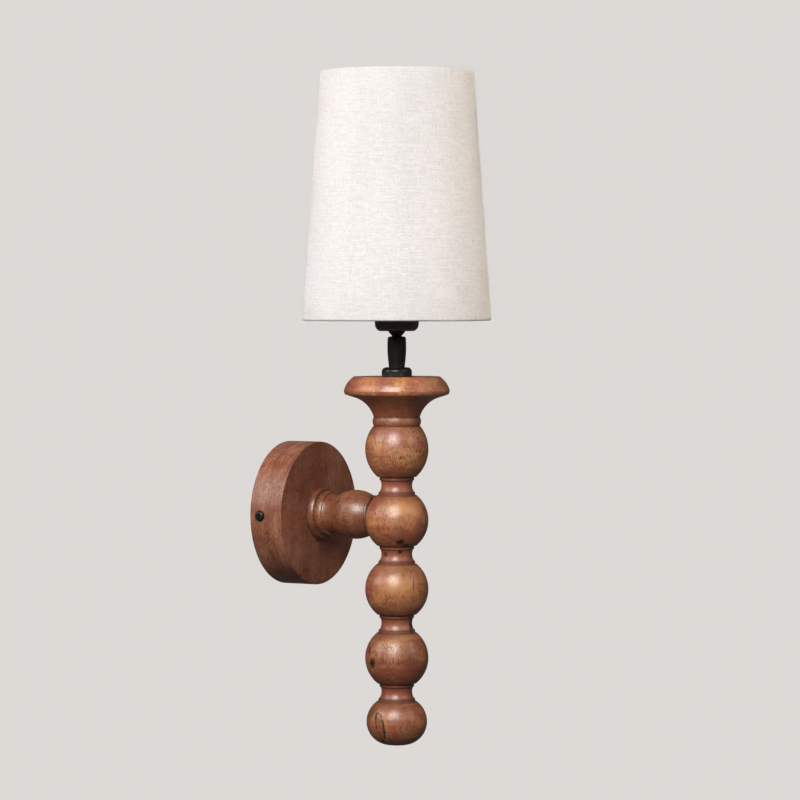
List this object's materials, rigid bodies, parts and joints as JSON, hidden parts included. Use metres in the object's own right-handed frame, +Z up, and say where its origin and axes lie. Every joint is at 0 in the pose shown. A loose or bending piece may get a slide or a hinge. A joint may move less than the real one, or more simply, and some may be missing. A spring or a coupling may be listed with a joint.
{
  "type": "wall lamp",
  "caption": "Turned wooden wall lamp: round back plate, short arm, beaded column and flared cup under a ball joint that carries a lampholder and a tapered linen shade.",
  "frame": {"origin": "centre of the back plate on the wall plane, midway between the two wall screws", "axes": "+Z up, -Y out from the wall, X along the wall; the arm lies on Y and the column stands along Z"},
  "size_m": [0.1508, 0.1775, 0.5392],
  "materials": {
    "turned_wood": "satin lacquer over reddish brown turned wood",
    "black_metal": "satin black paint",
    "black_plastic": "black moulded, satin",
    "zinc_steel": "zinc plated sheet and tube",
    "brass": "plain machined",
    "nylon": "white moulded",
    "insulator": "glazed insulator",
    "black_flex": "black sheath",
    "brown_core": "brown insulation",
    "blue_core": "blue insulation",
    "earth_core": "green and yellow insulation",
    "lead_core": "brown and blue insulation",
    "linen": "off-white slubbed linen",
    "liner": "translucent white stiffener",
    "white_wire": "white coated steel wire",
    "bulb_metal": "thin rolled metal",
    "bulb_white": "white moulded",
    "bulb_board": "white solder mask on metal",
    "bulb_opal": "opal diffuser"
  },
  "bodies": {
    "wall_mount": {"wall_bracket": "zinc_steel", "earth_lug": "zinc_steel", "earth_screw": "brass", "terminal_body": "nylon", "terminal_clamps": "brass", "terminal_screws": "brass", "fixing_screw": "zinc_steel", "backplate": "turned_wood", "side_screws": "black_metal", "arm": "turned_wood", "arm_tube": "zinc_steel", "arm_washer": "zinc_steel", "arm_nut": "zinc_steel", "arm_insert": "brass", "column": "turned_wood", "cup": "turned_wood", "stem_tube": "zinc_steel", "ring_nut": "black_metal", "joint_foot": "black_metal", "spring_washer": "zinc_steel", "joint_barrel": "black_metal", "lower_flex": "black_flex", "core_live": "brown_core", "core_neutral": "blue_core", "earth_lead": "earth_core"},
    "swivel_seat": {"ball_seat": "nylon"},
    "lamp_head": {"ball_stem": "black_metal", "holder_cap": "black_plastic", "holder_nut": "zinc_steel", "holder_body": "black_plastic", "contact_disc": "insulator", "screw_shell": "brass", "centre_contact": "brass", "holder_screws": "brass", "upper_flex": "black_flex", "holder_leads": "lead_core"},
    "ring": {"shade_ring": "black_plastic"},
    "shade": {"shade_cloth": "linen", "shade_liner": "liner", "shade_top_wire": "white_wire", "shade_frame": "white_wire"},
    "bulb": {"bulb_tip": "bulb_metal", "bulb_insulator": "insulator", "bulb_cap": "bulb_metal", "bulb_housing": "bulb_white", "diode_board": "bulb_board", "bulb_dome": "bulb_opal"}
  },
  "joints": [
    {"name": "ball_swivel", "type": "hinge", "parent": "wall_mount", "child": "swivel_seat", "pos_m": [0, -0.10211, 0.1386], "axis": [0, 0, 1], "range_deg": [-170, 170]},
    {"name": "ball_tilt", "type": "hinge", "parent": "swivel_seat", "child": "lamp_head", "pos_m": [0, -0.10211, 0.1386], "axis": [1, 0, 0], "range_deg": [-11, 11]},
    {"name": "shade_ring_turn", "type": "hinge", "parent": "lamp_head", "child": "ring", "pos_m": [0, -0.10211, 0.175], "axis": [0, 0, 1], "range_deg": [0, 1080]},
    {"name": "shade_turn", "type": "hinge", "parent": "lamp_head", "child": "shade", "pos_m": [0, -0.10211, 0.175], "axis": [0, 0, 1], "continuous": true},
    {"name": "bulb_turn", "type": "hinge", "parent": "lamp_head", "child": "bulb", "pos_m": [0, -0.10211, 0.185], "axis": [0, 0, 1], "range_deg": [0, 1080]}
  ]
}
